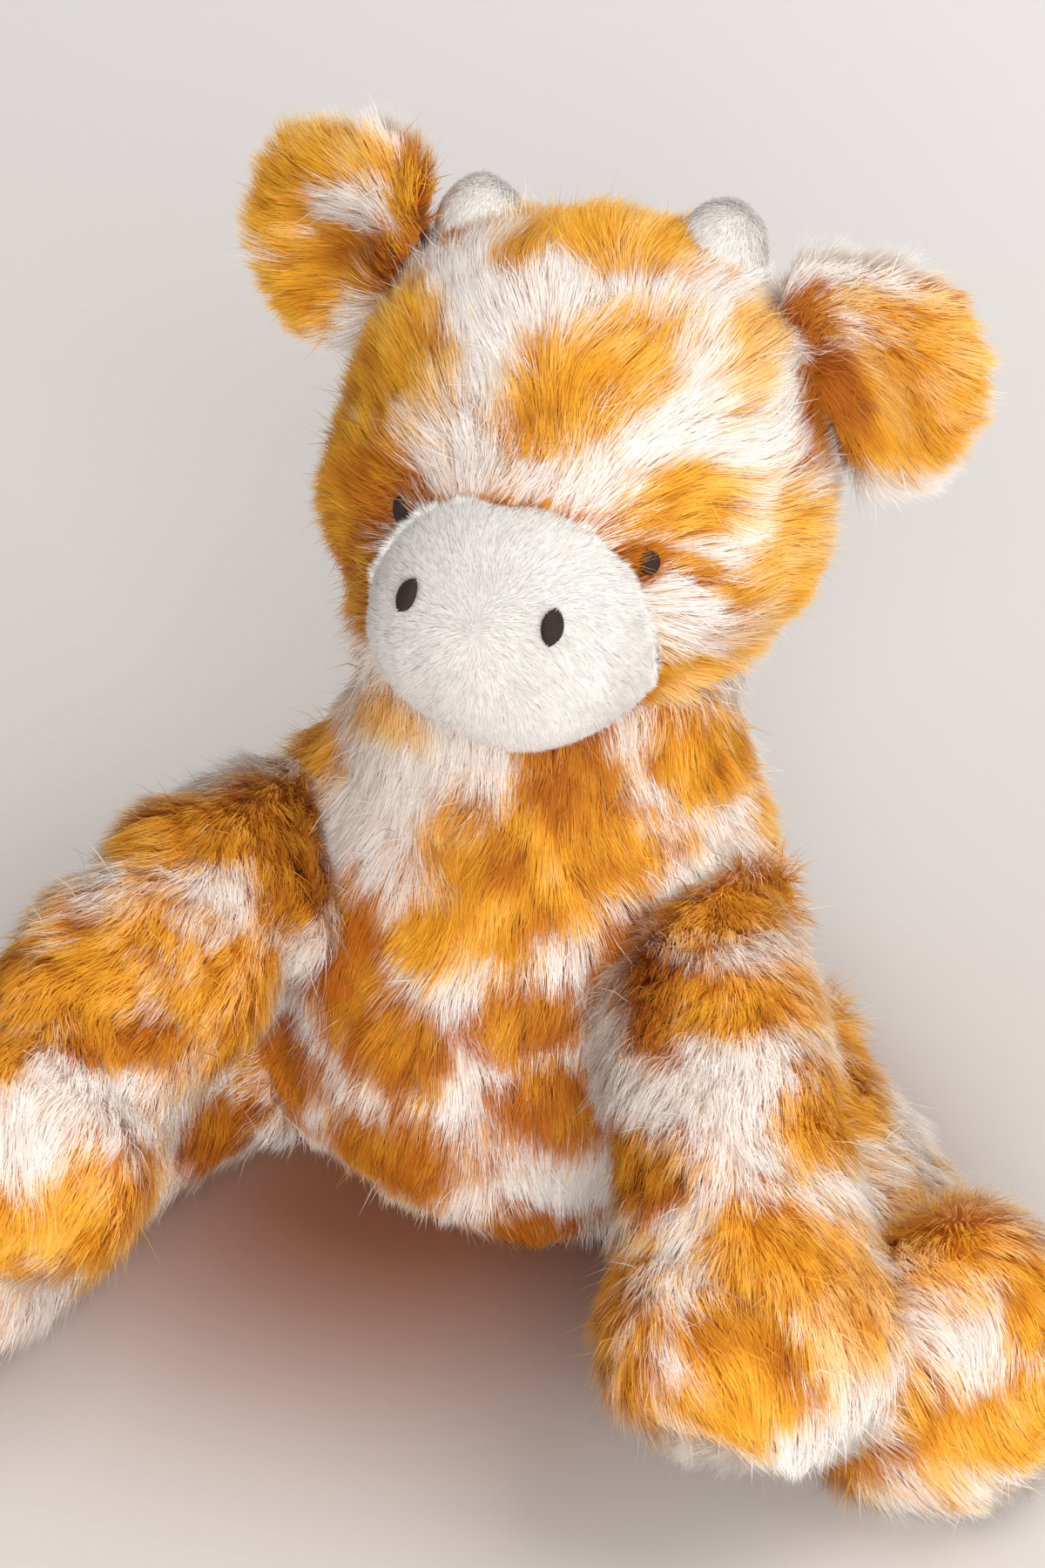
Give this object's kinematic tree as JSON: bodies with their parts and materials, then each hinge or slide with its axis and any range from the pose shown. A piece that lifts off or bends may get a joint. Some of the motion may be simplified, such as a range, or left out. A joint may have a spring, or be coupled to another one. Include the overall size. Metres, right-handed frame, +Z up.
{
  "type": "plush giraffe",
  "caption": "Seated plush giraffe with a large round head, white muzzle, short horns and long patched fur, posed with its arms over its splayed legs.",
  "frame": {"origin": "middle of the flat seat, on the surface the toy sits on", "axes": "+Z up, the toy faces -Y, its own left side is +X"},
  "size_m": [0.2545, 0.2413, 0.226],
  "materials": {
    "fur": "long golden and white pile in giraffe patches on a knitted backing",
    "ear_fur": "long pile of the ear's front panel, white to orange",
    "short_pile": "short white velvety pile",
    "embroidery": "dark brown satin-stitched thread",
    "fibre": "white polyester fibre",
    "pellets": "cotton pouch filled with plastic pellets"
  },
  "bodies": {
    "torso": {"torso_skin": "fur", "torso_filling": "fibre", "seat_pouch": "pellets"},
    "head": {"head_skin": "fur", "head_filling": "fibre", "muzzle_skin": "short_pile", "muzzle_filling": "fibre", "eye_left": "embroidery", "nostril_left": "embroidery", "ossicone_skin_left": "short_pile", "ossicone_filling_left": "fibre", "eye_right": "embroidery", "nostril_right": "embroidery", "ossicone_skin_right": "short_pile", "ossicone_filling_right": "fibre"},
    "ear_left": {"ear_back_left": "fur", "ear_front_left": "ear_fur"},
    "ear_right": {"ear_back_right": "fur", "ear_front_right": "ear_fur"},
    "arm_left": {"arm_skin_left": "fur", "arm_filling_left": "fibre", "arm_pouch_left": "pellets"},
    "arm_right": {"arm_skin_right": "fur", "arm_filling_right": "fibre", "arm_pouch_right": "pellets"},
    "leg_left": {"leg_skin_left": "fur", "leg_filling_left": "fibre", "leg_pouch_left": "pellets"},
    "leg_right": {"leg_skin_right": "fur", "leg_filling_right": "fibre", "leg_pouch_right": "pellets"},
    "tail": {"tail_tube": "fur", "tail_tuft": "fur"}
  },
  "joints": [
    {"name": "head_turn", "type": "hinge", "parent": "torso", "child": "head", "pos_m": [0.005, 0.004, 0.128], "axis": [0, 0, 1], "range_deg": [-25, 25], "stiffness_Nm_per_rad": 0.05},
    {"name": "ear_fold_left", "type": "hinge", "parent": "head", "child": "ear_left", "pos_m": [0.0479, 0.01865, 0.1877], "axis": [0.2989, -0.2949, 0.9076], "range_deg": [-25, 25], "stiffness_Nm_per_rad": 0.02},
    {"name": "ear_fold_right", "type": "hinge", "parent": "head", "child": "ear_right", "pos_m": [-0.02796, 0.01401, 0.1877], "axis": [0.5433, -0.2594, 0.7984], "range_deg": [-25, 25], "stiffness_Nm_per_rad": 0.02},
    {"name": "arm_lift_left", "type": "hinge", "parent": "torso", "child": "arm_left", "pos_m": [0.036, 0.002, 0.071], "axis": [-1, 0, 0], "range_deg": [0, 40]},
    {"name": "arm_lift_right", "type": "hinge", "parent": "torso", "child": "arm_right", "pos_m": [-0.036, 0.002, 0.071], "axis": [-1, 0, 0], "range_deg": [0, 40]},
    {"name": "leg_swing_left", "type": "hinge", "parent": "torso", "child": "leg_left", "pos_m": [0.044, 0.004, 0.0275], "axis": [0, 0, 1], "range_deg": [0, 20]},
    {"name": "leg_swing_right", "type": "hinge", "parent": "torso", "child": "leg_right", "pos_m": [-0.044, 0.004, 0.0275], "axis": [0, 0, -1], "range_deg": [0, 20]},
    {"name": "tail_swing", "type": "hinge", "parent": "torso", "child": "tail", "pos_m": [0, 0.04, 0.034], "axis": [0, 0, 1], "range_deg": [-20, 20]}
  ]
}
